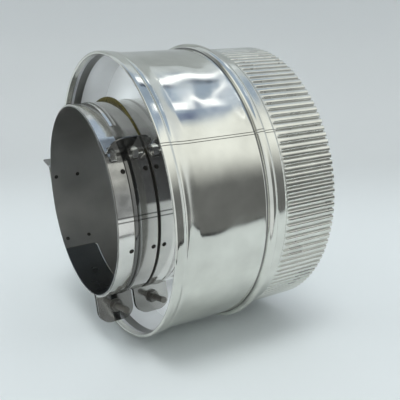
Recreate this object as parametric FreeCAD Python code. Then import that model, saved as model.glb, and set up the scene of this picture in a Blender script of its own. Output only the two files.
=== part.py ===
import FreeCAD, Part
import math
import os

# Double-wall flue adapter, standing on its crimped end.
# Millimetres, +Z up along the flue, origin on the axis at the crimped end's edge.
# +X points to the middle of the crown bands, the closing bolts are at -X.

Vector = FreeCAD.Vector
AXIS = Vector(0, 0, 1)

# Outer shell: one rolled sheet with a hemmed rim, a bead and a crimped end.
shell_radius = 112.5
shell_wall = 0.6
shell_height = 138.5
rim_depth = 6.5
rim_step = 2.0
hem_radius = 1.3
hem_lip = 3.6
bead_height = 60.0
bead_width = 8.0
bead_rise = 4.0

# Crimped end: flutes that fade out below the neck.
flute_count = 128
flute_length = 45.0
flute_fade = 3.0
flute_depth = 1.8
flute_inset = 1.3
neck_lip = 0.2
neck_taper = 1.4

# Inner tube and the strip that closes its slit from inside.
tube_radius = 75.0
tube_wall = 0.5
tube_foot = 8.0
tube_mouth = 162.5
slit_width = 3.0
slit_foot = 98.0
cover_wall = 0.5
cover_clear = 0.05
cover_half_angle = 55.0
cover_height = 28.5

# Clamp bands: three strips make a ring, and there are two rings.
band_wall = 0.8
band_clear = 0.2
band_width = 29.6
band_gap = 2.6
band_setback = 0.5
ear_height = 23.5
ear_corner = 10.0
bend_radius = 1.5
rib_width = 5.0
rib_rise = 0.6
rib_end_angle = 4.0
band_hole_radius = 1.75
band_hole_angles = (74.0, 117.75)
left_hole_spread = 9.8
left_hole_rise = 0.8
right_hole_spread = 8.55
right_hole_rise = -3.3

# Side sites, where one strip's tall ear hooks into slots in the next strip's end.
right_site_angle = -64.4
left_site_angle = 67.8
left_ear_corner = 2.0
right_flat_angle = 15.0
left_flat_angle = 22.0
lap_angle = 2.1
hook_width = 4.2
hook_knee = 0.8
hook_tip_clear = 0.4
hook_reach = 4.8
hook_pitch = 16.2
hook_offset = 1.8
slot_width = 5.6
slot_length = 2.8
slot_corner = 1.3
slot_lead = 0.5
window_clear = 0.3

# Rope seal that lies in the slot between the two rings of bands.
seal_clear = 0.25
seal_thin = 2.2
seal_thick = 4.4
seal_round = 0.7

# Closing bolts at -X, one for each ring.
closing_gap = 3.0
closing_radius = 2.5
closing_length = 28.0
closing_across = 8.0
closing_head = 3.5
closing_nut = 4.0
closing_washer_radius = 5.5
closing_washer_wall = 1.0
closing_offset = 10.7
bolt_clear = 0.3
thread_clear = 0.04

# Spacer brackets that hold the tube in the middle of the shell.
spacer_angles = (60.0, 180.0, 300.0)
spacer_wall = 1.0
spacer_foot = 15.0
spacer_width = 22.0
spacer_clear = 0.1

# Worked out from the sizes above.
shell_bore = shell_radius - shell_wall
tube_bore = tube_radius - tube_wall
band_inner = tube_radius + band_clear
band_outer = band_inner + band_wall
front_top = tube_mouth - band_setback
front_foot = front_top - band_width
rear_top = front_foot - band_gap
rear_foot = rear_top - band_width
ring_feet = {"front": front_foot, "rear": rear_foot}
ear_reach = band_outer + ear_height
closing_face = closing_gap / 2
closing_seat = closing_face + band_wall
closing_distance = band_outer + closing_offset
slot_setback = 3 * lap_angle
crest_radius = shell_radius - flute_inset
past = 5.0


def polar(radius, degrees, height=0.0):
    angle = math.radians(degrees)
    return Vector(radius * math.cos(angle), radius * math.sin(angle), height)


def ring_middle(ring):
    return ring_feet[ring] + band_width / 2


def line(start, end):
    return Part.LineSegment(start, end).toShape()


def arc(start, middle, end):
    return Part.Arc(start, middle, end).toShape()


def ring_solid(outer, inner, foot, height, centre=Vector(0, 0, 0)):
    base = centre + Vector(0, 0, foot)
    body = Part.makeCylinder(outer, height, base)
    return body.cut(Part.makeCylinder(inner, height, Vector(0, 0, foot)))


def sector(section, start, sweep):
    """A section drawn in the XZ plane, turned about the flue axis."""
    section.rotate(Vector(0, 0, 0), AXIS, start)
    return section.revolve(Vector(0, 0, 0), AXIS, sweep)


def outline_face(points):
    corners = [Vector(r, 0, z) for r, z in points]
    return Part.Face(Part.makePolygon(corners + corners[:1]))


class Site:
    """The plane where two strips meet, with u out from the axis and v along the ring."""

    def __init__(self, degrees, flat=0.0):
        self.degrees = degrees
        self.flat = flat
        self.out = polar(1.0, degrees)
        self.along = polar(1.0, degrees + 90)

    def at(self, u, v, z=0.0):
        return self.out * u + self.along * v + Vector(0, 0, z)


CLOSING = Site(180.0)
RIGHT = Site(right_site_angle, right_flat_angle)
LEFT = Site(left_site_angle, left_flat_angle)


def shell_half_profile():
    """The sheet's section from the neck up, walked round its outside and back inside."""
    neck = flute_length
    bead_foot = bead_height - bead_width / 2
    bead_top = bead_height + bead_width / 2
    flare_foot = shell_height - rim_depth - rim_step
    flare_top = shell_height - rim_depth
    rim = shell_radius + rim_step
    curl = shell_height - hem_radius
    lip_foot = curl - hem_lip
    curl_axis = rim - hem_radius
    curl_bore = hem_radius - shell_wall

    def p(r, z):
        return Vector(r, 0, z)

    return [
        line(p(crest_radius + neck_lip, neck), p(shell_radius, neck + neck_taper)),
        line(p(shell_radius, neck + neck_taper), p(shell_radius, bead_foot)),
        arc(p(shell_radius, bead_foot), p(shell_radius + bead_rise, bead_height),
            p(shell_radius, bead_top)),
        line(p(shell_radius, bead_top), p(shell_radius, flare_foot)),
        line(p(shell_radius, flare_foot), p(rim, flare_top)),
        line(p(rim, flare_top), p(rim, curl)),
        arc(p(rim, curl), p(curl_axis, shell_height), p(curl_axis - hem_radius, curl)),
        line(p(curl_axis - hem_radius, curl), p(curl_axis - hem_radius, lip_foot)),
        line(p(curl_axis - hem_radius, lip_foot), p(curl_axis - curl_bore, lip_foot)),
        line(p(curl_axis - curl_bore, lip_foot), p(curl_axis - curl_bore, curl)),
        arc(p(curl_axis - curl_bore, curl), p(curl_axis, curl + curl_bore),
            p(curl_axis + curl_bore, curl)),
        line(p(curl_axis + curl_bore, curl), p(rim - shell_wall, flare_top)),
        line(p(rim - shell_wall, flare_top), p(shell_bore, flare_foot)),
        line(p(shell_bore, flare_foot), p(shell_bore, bead_top)),
        arc(p(shell_bore, bead_top), p(shell_bore + bead_rise, bead_height),
            p(shell_bore, bead_foot)),
        line(p(shell_bore, bead_foot), p(shell_bore, neck + neck_taper + shell_wall)),
        line(p(shell_bore, neck + neck_taper + shell_wall),
             p(crest_radius - shell_wall - neck_lip, neck)),
        line(p(crest_radius - shell_wall - neck_lip, neck), p(crest_radius + neck_lip, neck)),
    ]


def flute_wall(crest, valley, half_crest):
    """One side of the fluted sheet: flat crests, V valleys, and valleys that fade out."""
    pitch = 360.0 / flute_count
    fade_foot = flute_length - flute_fade
    faces = []
    foot_points = []
    top_points = []
    for number in range(flute_count):
        middle = number * pitch
        left, right = middle - half_crest, middle + half_crest
        dip = middle + pitch / 2
        next_left = left + pitch
        levels = [0.0, fade_foot, flute_length]
        left_edge = [polar(crest, left, z) for z in levels]
        right_edge = [polar(crest, right, z) for z in levels]
        next_edge = [polar(crest, next_left, z) for z in levels]
        dip_foot = polar(valley, dip, 0.0)
        dip_top = polar(valley, dip, fade_foot)
        dip_end = polar(crest, dip, flute_length)
        faces.append(right_edge + left_edge[::-1])
        for edge in (right_edge, next_edge):
            faces.append([edge[0], dip_foot, dip_top, edge[1]])
            faces.append([edge[1], dip_top, edge[2]])
            faces.append([dip_top, dip_end, edge[2]])
        foot_points += [left_edge[0], right_edge[0], dip_foot]
        top_points += [left_edge[2], right_edge[2], dip_end]
    sheets = [Part.Face(Part.makePolygon(corners + corners[:1])) for corners in faces]
    foot = Part.makePolygon(foot_points + foot_points[:1])
    top = Part.makePolygon(top_points + top_points[:1])
    return sheets, foot, top


def fluted_end():
    """The crimped length of the shell, a sheet of one thickness folded into flutes."""
    pitch = 360.0 / flute_count
    quarter = math.radians(pitch / 4) * crest_radius
    slope = math.atan2(flute_depth, quarter)
    valley = crest_radius - flute_depth
    inner_crest = crest_radius - shell_wall
    inner_valley = valley - shell_wall / math.cos(slope)
    inner_half = pitch / 4 - math.degrees(shell_wall * math.tan(slope / 2) / crest_radius)
    outside, outer_foot, outer_top = flute_wall(crest_radius, valley, pitch / 4)
    inside, inner_foot, inner_top = flute_wall(inner_crest, inner_valley, inner_half)
    ends = [Part.Face([outer_foot, inner_foot]), Part.Face([outer_top, inner_top])]
    skin = Part.Shell(outside + inside + ends)
    skin.sewShape()
    body = Part.Solid(skin)
    body.fix(1e-4, 1e-4, 1e-4)
    return body


def outer_shell():
    upper = Part.Face(Part.Wire(shell_half_profile())).revolve(Vector(0, 0, 0), AXIS, 360)
    return upper.fuse(fluted_end())


def inner_tube():
    tube = ring_solid(tube_radius, tube_bore, tube_foot, tube_mouth - tube_foot)
    slit = Part.makeBox(2 * past, slit_width, tube_mouth - slit_foot + past)
    slit.translate(Vector(-tube_radius - past, -slit_width / 2, slit_foot))
    return tube.cut([slit] + band_holes())


def slit_cover():
    outer = tube_bore - cover_clear
    inner = outer - cover_wall
    top = tube_mouth
    face = outline_face([(inner, top - cover_height), (outer, top - cover_height),
                         (outer, top), (inner, top)])
    return sector(face, 180 - cover_half_angle, 2 * cover_half_angle)


def band_holes():
    """Pairs of small holes through a band and the tube under it, alike about the rings' gap."""
    holes = []
    for ring, turned in (("front", 1), ("rear", -1)):
        for side, spread, rise in ((1, left_hole_spread, left_hole_rise),
                                   (-1, right_hole_spread, right_hole_rise)):
            for degrees in band_hole_angles:
                for step in (rise - spread, rise + spread):
                    height = ring_middle(ring) + turned * step
                    start = polar(tube_bore - past, side * degrees, height)
                    toward = polar(1.0, side * degrees)
                    holes.append(Part.makeCylinder(band_hole_radius, 4 * past, start, toward))
    return holes


def ear_bend(face, flat):
    """How far out an ear's bend is centred, and the direction where the strip meets the ring.

    face is the distance from the site's plane to the ear. With a flat, the strip leaves
    the ring along its tangent, as sheet that wasn't rolled up to its end.
    """
    bend = face + band_wall + bend_radius
    if flat:
        turn = math.radians(flat)
        depth = (band_outer + bend_radius - math.sin(turn) * bend) / math.cos(turn)
        return depth, Vector(math.cos(turn), math.sin(turn), 0)
    depth = math.sqrt((band_outer + bend_radius) ** 2 - bend ** 2)
    return depth, Vector(depth, bend, 0).normalize()


def ear_path(site, side, face, flat):
    """Corners of an ear and its bend, on the inside and the outside of the strip.

    side is +1 where the strip runs on from the site towards +v.
    """
    depth, normal = ear_bend(face, flat)
    bend = face + band_wall + bend_radius
    middle = (Vector(0, -1, 0) - normal).normalize()
    paths = {}
    for name, ear, radius, ring in (("inner", face, bend_radius + band_wall, band_inner),
                                    ("outer", face + band_wall, bend_radius, band_outer)):
        paths[name] = {
            "tip": site.at(ear_reach, side * ear),
            "bend_start": site.at(depth, side * ear),
            "bend_middle": site.at(depth + radius * middle.x, side * (bend + radius * middle.y)),
            "bend_end": site.at(depth - radius * normal.x, side * (bend - radius * normal.y)),
            "ring": site.at(ring * normal.x, side * ring * normal.y),
        }
    return paths, math.degrees(math.atan2(normal.y, normal.x))


def ear_edges(paths):
    """The edges of an ear's profile, from its tip to where the strip meets the ring."""
    edges = [line(paths["inner"]["tip"], paths["outer"]["tip"])]
    for path in paths.values():
        edges.append(line(path["tip"], path["bend_start"]))
        edges.append(arc(path["bend_start"], path["bend_middle"], path["bend_end"]))
        if (path["bend_end"] - path["ring"]).Length > band_clear:
            edges.append(line(path["bend_end"], path["ring"]))
    return edges


def strip_solid(edges, begin, finish, first, last):
    """The strip's profile, closed by its two arcs round the tube and drawn up to its width."""
    for radius, side in ((band_inner, "inner"), (band_outer, "outer")):
        middle = polar(radius, (begin + finish) / 2)
        edges.append(arc(first[side]["ring"], middle, last[side]["ring"]))
    profile = Part.Wire(Part.__sortEdges__(edges))
    return Part.Face(profile).extrude(Vector(0, 0, band_width))


def plain_end(site):
    """The straight end of a strip that laps in under the next strip's tall ear."""
    angle = site.degrees + lap_angle
    paths = {"inner": {"ring": polar(band_inner, angle)}, "outer": {"ring": polar(band_outer, angle)}}
    return paths, [line(paths["inner"]["ring"], paths["outer"]["ring"])], angle


def round_ear(strip, site, radius):
    """Rounds the corners of a site's ear, found as the short edges at the ear's tip."""
    corners = []
    for edge in strip.Edges:
        at_tip = edge.CenterOfMass.dot(site.out) > ear_reach - band_wall
        if at_tip and abs(edge.Length - band_wall) < band_wall / 10:
            corners.append(edge)
    return strip.makeFillet(radius, corners)


def closing_hole(ring, side):
    """The bolt hole in a closing ear."""
    start = CLOSING.at(closing_distance, 0, ring_middle(ring))
    return Part.makeCylinder(closing_radius + bolt_clear, past, start, CLOSING.along * side)


def hook_heights(ring):
    middle = ring_middle(ring) + hook_offset
    return [middle - hook_pitch / 2, middle + hook_pitch / 2]


def hook_root(site):
    """How far out the hooks leave the tall ear, at the end of its bend."""
    return ear_bend(0, site.flat)[0] + band_wall


def hooks(ring, site):
    """Tongues bent out of a tall ear's foot, that slant down into the next strip's slots."""
    root = hook_root(site)
    knee = band_outer + hook_knee
    tip = tube_radius + hook_tip_clear
    slope = (root - knee) / hook_reach
    drop = band_wall * math.hypot(1, slope)
    back = band_wall - hook_reach
    section = [(root, band_wall), (root, 0), (knee, -hook_reach), (tip, -hook_reach),
               (tip, back), (root + slope * back - drop, back),
               (root + slope * band_wall - drop, band_wall)]
    solids = []
    for height in hook_heights(ring):
        points = [site.at(u, v, height - hook_width / 2) for u, v in section]
        face = Part.Face(Part.makePolygon(points + points[:1]))
        solids.append(face.extrude(Vector(0, 0, hook_width)))
    return solids


def hook_windows(ring, site):
    """The openings that the tongues leave in the ear's bend and the flat behind it."""
    width = hook_width + 2 * window_clear
    top = hook_root(site) - band_wall
    windows = []
    for height in hook_heights(ring):
        window = Part.makeBox(top - band_outer, window_clear + band_wall + hook_reach, width)
        window.translate(Vector(band_outer, -window_clear, height - width / 2))
        window.rotate(Vector(0, 0, 0), AXIS, site.degrees)
        windows.append(window)
    return windows


def slots(ring, site):
    """Rounded slots in a strip's plain end, one for each hook of the next strip."""
    near_end = -hook_reach - slot_lead
    holes = []
    for height in hook_heights(ring):
        slot = Part.makeBox(2 * past, slot_length, slot_width)
        corners = [edge for edge in slot.Edges if abs(edge.Length - 2 * past) < slot_lead]
        slot = slot.makeFillet(slot_corner, corners)
        slot.translate(Vector(tube_radius - past, near_end, height - slot_width / 2))
        slot.rotate(Vector(0, 0, 0), AXIS, site.degrees)
        holes.append(slot)
    return holes


def crown_band(ring):
    """Hooks at its right end, slots at its left end."""
    first, turn = ear_path(RIGHT, 1, 0, RIGHT.flat)
    last, edges, finish = plain_end(LEFT)
    return hooked_strip(ring, RIGHT, ear_corner, first, edges, last, finish,
                        RIGHT.degrees + turn, finish - slot_setback, slots(ring, LEFT))


def left_band(ring):
    """Hooks at the crown, a bolted ear at the closing."""
    first, turn = ear_path(LEFT, 1, 0, LEFT.flat)
    last, last_turn = ear_path(CLOSING, -1, closing_face, 0)
    finish = CLOSING.degrees - last_turn
    return hooked_strip(ring, LEFT, left_ear_corner, first, ear_edges(last), last, finish,
                        LEFT.degrees + turn, finish - rib_end_angle, [closing_hole(ring, -1)])


def hooked_strip(ring, site, corner, first, last_edges, last, finish, rib_begin, rib_finish, cuts):
    """A strip that starts with a tall hooked ear; its other end is given as edges and cuts."""
    foot = ring_feet[ring]
    strip = strip_solid(ear_edges(first) + last_edges, site.degrees + site.flat, finish, first, last)
    strip = round_ear(strip, site, corner)
    if "tip" in last["inner"]:
        strip = round_ear(strip, CLOSING, ear_corner)
    strip.translate(Vector(0, 0, foot))
    strip = pressed_rib(strip, foot, rib_begin + rib_end_angle, rib_finish)
    strip = strip.cut(cuts + band_holes() + hook_windows(ring, site))
    return strip.fuse(hooks(ring, site)).removeSplitter()


def right_band(ring):
    """A bolted ear at the closing, slots at the crown."""
    foot = ring_feet[ring]
    first, turn = ear_path(CLOSING, 1, closing_face, 0)
    last, edges, finish = plain_end(RIGHT)
    begin = CLOSING.degrees + turn
    strip = strip_solid(ear_edges(first) + edges, begin, finish + 360, first, last)
    strip = round_ear(strip, CLOSING, ear_corner)
    strip.translate(Vector(0, 0, foot))
    strip = pressed_rib(strip, foot, begin + rib_end_angle, finish + 360 - slot_setback)
    return strip.cut([closing_hole(ring, 1)] + band_holes() + slots(ring, RIGHT))


def pressed_rib(strip, foot, begin, finish):
    """A shallow rib rolled outwards along the middle of the strip."""
    middle = foot + band_width / 2
    for radius, depth, combine in ((band_inner, -past, "cut"), (band_outer, -band_wall / 2, "fuse")):
        low = Vector(radius, 0, middle - rib_width / 2)
        high = Vector(radius, 0, middle + rib_width / 2)
        crest = Vector(radius + rib_rise, 0, middle)
        back = Vector(depth, 0, 0)
        section = Part.Face(Part.Wire([arc(low, crest, high), line(high, high + back),
                                       line(high + back, low + back), line(low + back, low)]))
        tool = sector(section, begin, finish - begin)
        strip = strip.cut(tool) if combine == "cut" else strip.fuse(tool)
    return strip


def hexagon(site, across, height, centre, direction):
    """A hexagonal prism at a site, with two flats that face the flue axis."""
    corner = across / math.sqrt(3)
    points = []
    for number in range(6):
        turn = FreeCAD.Rotation(direction, 30 + 60 * number)
        points.append(centre + turn.multVec(site.out) * corner)
    return Part.Face(Part.makePolygon(points + points[:1])).extrude(direction * height)


def closing_set(ring):
    """A bolt through both closing ears, with its head on the left strip's ear."""
    height = ring_middle(ring)
    way = CLOSING.along
    top = CLOSING.at(closing_distance, -closing_seat - closing_head, height)
    shank = Part.makeCylinder(closing_radius, closing_head + closing_length, top, way)
    head = hexagon(CLOSING, closing_across, closing_head, top, way)
    seat = CLOSING.at(closing_distance, closing_seat, height)
    washer = Part.makeCylinder(closing_washer_radius, closing_washer_wall, seat, way)
    washer_hole = Part.makeCylinder(closing_radius + bolt_clear, closing_washer_wall, seat, way)
    nut_seat = seat + way * closing_washer_wall
    nut = hexagon(CLOSING, closing_across, closing_nut, nut_seat, way)
    thread = Part.makeCylinder(closing_radius + thread_clear, closing_nut, nut_seat, way)
    return {
        "closing_bolt_" + ring: shank.fuse(head).removeSplitter(),
        "closing_washer_" + ring: washer.cut(washer_hole),
        "closing_nut_" + ring: nut.cut(thread),
    }


def rope_seal():
    """A rope ring in the slot between the bands, thicker towards the crown."""
    height = band_gap - 2 * seal_clear
    shift = (seal_thick - seal_thin) / 2
    bore = tube_radius + seal_clear
    outer = bore + (seal_thick + seal_thin) / 2
    body = ring_solid(outer, bore, rear_top + seal_clear, height, Vector(shift, 0, 0))
    rims = [edge for edge in body.Edges if abs(edge.Length - 2 * math.pi * outer) < seal_clear]
    return body.makeFillet(seal_round, rims)


def spacer_bracket(degrees):
    """A Z bracket with one foot on the tube and the other on the shell, above the bead."""
    step = bead_height + bead_width / 2 + spacer_clear + spacer_wall
    near = tube_radius + spacer_clear
    far = shell_bore - spacer_clear
    section = outline_face([
        (near, step + spacer_wall), (near, step - spacer_foot),
        (near + spacer_wall, step - spacer_foot), (near + spacer_wall, step),
        (far, step), (far, step + spacer_foot),
        (far - spacer_wall, step + spacer_foot), (far - spacer_wall, step + spacer_wall)])
    sweep = math.degrees(spacer_width / tube_radius)
    return sector(section, degrees - sweep / 2, sweep)


def build():
    nodes = {"outer_shell": outer_shell(), "inner_tube": inner_tube(),
             "slit_cover": slit_cover(), "rope_seal": rope_seal()}
    for ring in ring_feet:
        nodes[ring + "_band_crown"] = crown_band(ring)
        nodes[ring + "_band_left"] = left_band(ring)
        nodes[ring + "_band_right"] = right_band(ring)
        nodes.update(closing_set(ring))
    for letter, degrees in zip("abc", spacer_angles):
        nodes["spacer_bracket_" + letter] = spacer_bracket(degrees)
    return nodes


os.makedirs("parts", exist_ok=True)
for name, shape in build().items():
    shape.exportStep("parts/" + name + ".step")
    print(name, "valid" if shape.isValid() else "NOT VALID", len(shape.Solids), round(shape.Volume, 1))
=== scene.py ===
# %% [markdown]
# # A double-wall flue adapter in polished stainless steel
#
# The CAD model is loaded first and never changed. New pieces are laid over it where the real
# sheet metal is finer than the CAD solids, and every surface gets a material made of nodes.

# %% Load the frame
import math

import bpy
import numpy as np
from mathutils import Matrix


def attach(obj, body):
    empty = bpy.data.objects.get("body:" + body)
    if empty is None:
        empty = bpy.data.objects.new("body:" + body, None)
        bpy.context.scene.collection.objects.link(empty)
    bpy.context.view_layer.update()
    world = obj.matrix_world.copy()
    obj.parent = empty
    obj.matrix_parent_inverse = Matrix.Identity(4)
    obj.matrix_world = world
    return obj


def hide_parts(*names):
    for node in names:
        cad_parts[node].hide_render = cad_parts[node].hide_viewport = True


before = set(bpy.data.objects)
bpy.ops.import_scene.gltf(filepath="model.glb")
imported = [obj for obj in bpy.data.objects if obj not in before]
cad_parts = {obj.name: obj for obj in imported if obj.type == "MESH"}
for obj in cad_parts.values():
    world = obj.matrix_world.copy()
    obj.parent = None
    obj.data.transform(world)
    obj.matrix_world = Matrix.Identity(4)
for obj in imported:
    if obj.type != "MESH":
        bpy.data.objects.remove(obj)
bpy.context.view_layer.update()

MM = 0.001
bpy.context.scene.view_settings.view_transform = "Standard"

# %% [markdown]
# ## The camera
#
# The picture was taken from a little above the table, and the part lies on its side. The part's
# own axis stays upright in this file, so the camera is rolled instead. Its place, and its right, up
# and backward directions, are written as the columns of one matrix.

# %% Camera
CAMERA_PLACE = np.array([33.06, -455.94, 305.85]) * MM
CAMERA_RIGHT = np.array([-0.13558, -0.48741, -0.86259])
CAMERA_UP = np.array([0.98631, 0.01612, -0.16414])
CAMERA_BACK = np.array([0.09392, -0.87302, 0.47854])
SENSOR_WIDTH = 36.0
FOCAL_PIXELS = 598.6
PICTURE_WIDTH = 400
CLIP_START, CLIP_END = 0.01, 20


def look(name, place, right, up, back):
    """A camera whose rotation matrix has right, up and back as its columns."""
    data = bpy.data.cameras.new(name)
    camera = bpy.data.objects.new(name, data)
    bpy.context.scene.collection.objects.link(camera)
    turn = np.eye(4)
    turn[:3, 0], turn[:3, 1], turn[:3, 2], turn[:3, 3] = right, up, back, place
    camera.matrix_world = Matrix(turn.tolist())
    return camera


camera = look("camera", CAMERA_PLACE, CAMERA_RIGHT, CAMERA_UP, CAMERA_BACK)
camera.data.sensor_width = SENSOR_WIDTH
camera.data.lens = FOCAL_PIXELS * SENSOR_WIDTH / PICTURE_WIDTH
camera.data.clip_start, camera.data.clip_end = CLIP_START, CLIP_END
bpy.context.scene.camera = camera
print("lens", round(camera.data.lens, 2), "mm")

# %% [markdown]
# ## The studio's own directions
#
# The part lies on a table, so up in the studio isn't up in this file. The picture isn't tilted, so
# the studio's upward direction lies between the camera's up and back directions, and the camera's
# right is the studio's right.

# %% Studio directions
LOOK_DOWN = math.radians(16.04)
STUDIO_UP = math.cos(LOOK_DOWN) * CAMERA_UP + math.sin(LOOK_DOWN) * CAMERA_BACK
STUDIO_FRONT = math.cos(LOOK_DOWN) * CAMERA_BACK - math.sin(LOOK_DOWN) * CAMERA_UP
STUDIO_RIGHT = CAMERA_RIGHT
print("up in the studio is", STUDIO_UP.round(3))

# %% [markdown]
# ## Helpers for meshes
#
# Sheet metal is a profile carried round an axis. The profile is worked out as a row of points, and
# numpy turns it into a grid of rows and columns in one step, so no vertex is placed by a loop.

# %% Grids
def grid_faces(rows, columns, round_rows, round_columns):
    """Corners of each face of a grid, where a round direction joins its last line to its first."""
    row = np.arange(rows if round_rows else rows - 1)
    column = np.arange(columns if round_columns else columns - 1)
    i, j = np.meshgrid(row, column, indexing="ij")
    up, across = (i + 1) % rows, (j + 1) % columns
    corners = [i * columns + j, i * columns + across, up * columns + across, up * columns + j]
    return np.stack(corners, axis=-1).reshape(-1, 4)


def add_mesh(name, points, faces, smooth_angle=40.0, finishes=None):
    """A mesh piece at the origin, smooth but for edges sharper than the given angle.

    finishes gives the number of each face's material, where a piece has more than one.
    """
    mesh = bpy.data.meshes.new(name)
    mesh.from_pydata(points.reshape(-1, 3).tolist(), [], faces.tolist())
    if finishes is not None:
        mesh.polygons.foreach_set("material_index", finishes.astype(np.int32))
    mesh.polygons.foreach_set("use_smooth", np.ones(len(mesh.polygons), bool))
    mesh.set_sharp_from_angle(angle=math.radians(smooth_angle))
    mesh.update()
    piece = bpy.data.objects.new(name, mesh)
    bpy.context.scene.collection.objects.link(piece)
    return piece


def upright(radius, angles, heights):
    """Points in metres from a radius and a height in mm and an angle round the axis."""
    return np.stack([radius * np.cos(angles), radius * np.sin(angles), heights], axis=-1) * MM


print("an open tube of 3 rows and 4 columns has", len(grid_faces(3, 4, False, True)), "faces")

# %% Profiles
STRAIGHT = 1e-3


def rounded_profile(corners, radii, steps):
    """A row of (r, z) points along a polyline whose corners are rounded by arcs.

    Each arc is tangent to both its lines: it starts at radius / tan(half the angle between them)
    from the corner, and its points follow the circle's sine and cosine.
    """
    corners = np.array(corners, float)
    out = [corners[0]]
    for before, corner, after, radius in zip(corners, corners[1:], corners[2:], radii):
        to_before = (before - corner) / np.linalg.norm(before - corner)
        to_after = (after - corner) / np.linalg.norm(after - corner)
        half = math.acos(np.clip(to_before @ to_after, -1, 1)) / 2
        if half > math.pi / 2 - STRAIGHT:
            out.append(corner)
            continue
        inward = (to_before + to_after) / np.linalg.norm(to_before + to_after)
        middle = corner + inward * radius / math.sin(half)
        start = corner + to_before * radius / math.tan(half) - middle
        finish = corner + to_after * radius / math.tan(half) - middle
        sweep = math.atan2(start[0] * finish[1] - start[1] * finish[0], start @ finish)
        turns = np.linspace(0, sweep, steps)
        arc = np.stack([np.cos(turns) * start[0] - np.sin(turns) * start[1],
                        np.sin(turns) * start[0] + np.cos(turns) * start[1]], axis=1)
        out.extend(middle + arc)
    out.append(corners[-1])
    return np.array(out)


def fine_rows(profile, longest):
    """The same profile with its long runs divided, so that no step is over the given length."""
    steps = np.linalg.norm(np.diff(profile, axis=0), axis=1)
    counts = np.maximum(1, np.ceil(steps / longest).astype(int))
    parts = [np.linspace(a, b, n, endpoint=False) for a, b, n in zip(profile, profile[1:], counts)]
    return np.concatenate(parts + [profile[-1:]])


def turn_from(angles, middle):
    """The angle from a middle, between minus and plus half a turn."""
    return (angles - middle + math.pi) % (2 * math.pi) - math.pi


print("a rounded corner:", rounded_profile([(0, 0), (0, 2), (2, 2)], [1], 3).round(2).tolist())

# %% [markdown]
# ## The outer shell
#
# The real shell is one rolled sheet. A machine rolled a bead round it, stepped it out near the
# mouth and turned its edge over into a hem. A solid of revolution could do, but the sheet isn't
# quite round: it has a seam, a flare and dents. So the outline is carried round the axis as a
# grid, and each of those moves the grid's radius by a formula of its own.

# %% Shell sizes, in mm
SHELL_RADIUS, SHELL_WALL, SHELL_HEIGHT = 112.5, 0.6, 138.5
RIM_STEP, RIM_DEPTH = 2.0, 6.5
HEM_RADIUS, HEM_LIP = 1.3, 3.6
BEAD_MIDDLE, BEAD_HALF, BEAD_RISE = 60.0, 4.0, 4.0
BEAD_LEAN, BEAD_FOLD = 0.3, 0.9
NECK, CREST_RADIUS = 45.0, 111.2
NECK_FOOT, NECK_TOP = 0.6, 2.4
INNER_NECK_FOOT, INNER_NECK_TOP = 0.9, 3.0
print("the bead's crest is", 2 * (SHELL_RADIUS + BEAD_RISE), "mm across")

# %% Shell outline
OUTER_ROUNDS = (0.5, 2.0, 1.5, 3.2, 3.2, 1.5, 1.5, 1.2, 1.29, 1.29)
INNER_ROUNDS = (0.3, 0.3, 0.6, 0.9, 0.9, 2.6, 2.6, 0.9, 1.4, 0.3)
OUTER_STEPS, INNER_STEPS = 9, 7
OUTER_ROW, INNER_ROW = 2.0, 6.0
# Lines of painted shade in the creases, from one height to another. Those in the plain sheet get
# rows of their own.
BEAD_LINES = ((64.0, 64.7), (55.5, 56.2))
SHEET_LINES = ((66.3, 66.7), (119.0, 119.35))


def shell_profile():
    """The sheet's outline from the neck, up the outside, round the hem and down the inside.

    It gives the outline and the number of the last row of the outside.
    """
    rim = SHELL_RADIUS + RIM_STEP
    crown = SHELL_RADIUS + BEAD_RISE
    bore = SHELL_RADIUS - SHELL_WALL
    flare_foot = SHELL_HEIGHT - RIM_DEPTH - RIM_STEP
    flare_top = SHELL_HEIGHT - RIM_DEPTH
    bead_foot, bead_top = BEAD_MIDDLE - BEAD_HALF, BEAD_MIDDLE + BEAD_HALF
    inner_rim = rim - 2 * HEM_RADIUS
    fold = SHELL_HEIGHT - HEM_RADIUS
    lip = SHELL_HEIGHT - HEM_RADIUS - HEM_LIP
    outside = rounded_profile(
        [(CREST_RADIUS, NECK), (CREST_RADIUS, NECK + NECK_FOOT), (SHELL_RADIUS, NECK + NECK_TOP),
         (SHELL_RADIUS, bead_foot), (crown, bead_foot + BEAD_LEAN), (crown, bead_top - BEAD_LEAN),
         (SHELL_RADIUS, bead_top), (SHELL_RADIUS, flare_foot), (rim, flare_top),
         (rim, SHELL_HEIGHT), (inner_rim, SHELL_HEIGHT), (inner_rim, lip)],
        OUTER_ROUNDS, OUTER_STEPS)
    inside = rounded_profile(
        [(inner_rim + SHELL_WALL, lip), (inner_rim + SHELL_WALL, fold),
         (rim - SHELL_WALL, fold), (rim - SHELL_WALL, flare_top),
         (bore, flare_foot), (bore, bead_top), (crown - SHELL_WALL, bead_top - BEAD_FOLD),
         (crown - SHELL_WALL, bead_foot + BEAD_FOLD), (bore, bead_foot),
         (bore, NECK + INNER_NECK_TOP), (CREST_RADIUS - SHELL_WALL, NECK + INNER_NECK_FOOT),
         (CREST_RADIUS - SHELL_WALL, NECK)],
        INNER_ROUNDS, INNER_STEPS)
    outside, inside = fine_rows(outside, OUTER_ROW), fine_rows(inside, INNER_ROW)
    for height in np.ravel(SHEET_LINES):
        row = int(np.argmax(outside[:, 1] > height))
        outside = np.insert(outside, row, (SHELL_RADIUS, height), axis=0)
    return np.concatenate([outside, inside]), len(outside) - 1


shell_outline, last_outside = shell_profile()
print("outline points", len(shell_outline), "of them outside", last_outside + 1)

# %% Lapped seam, in mm
SEAM_ANGLE = math.radians(-72.0)
SEAM_PITCH, SEAM_GROOVE, SEAM_DEPTH = 1.8, 0.50, 0.3


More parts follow.
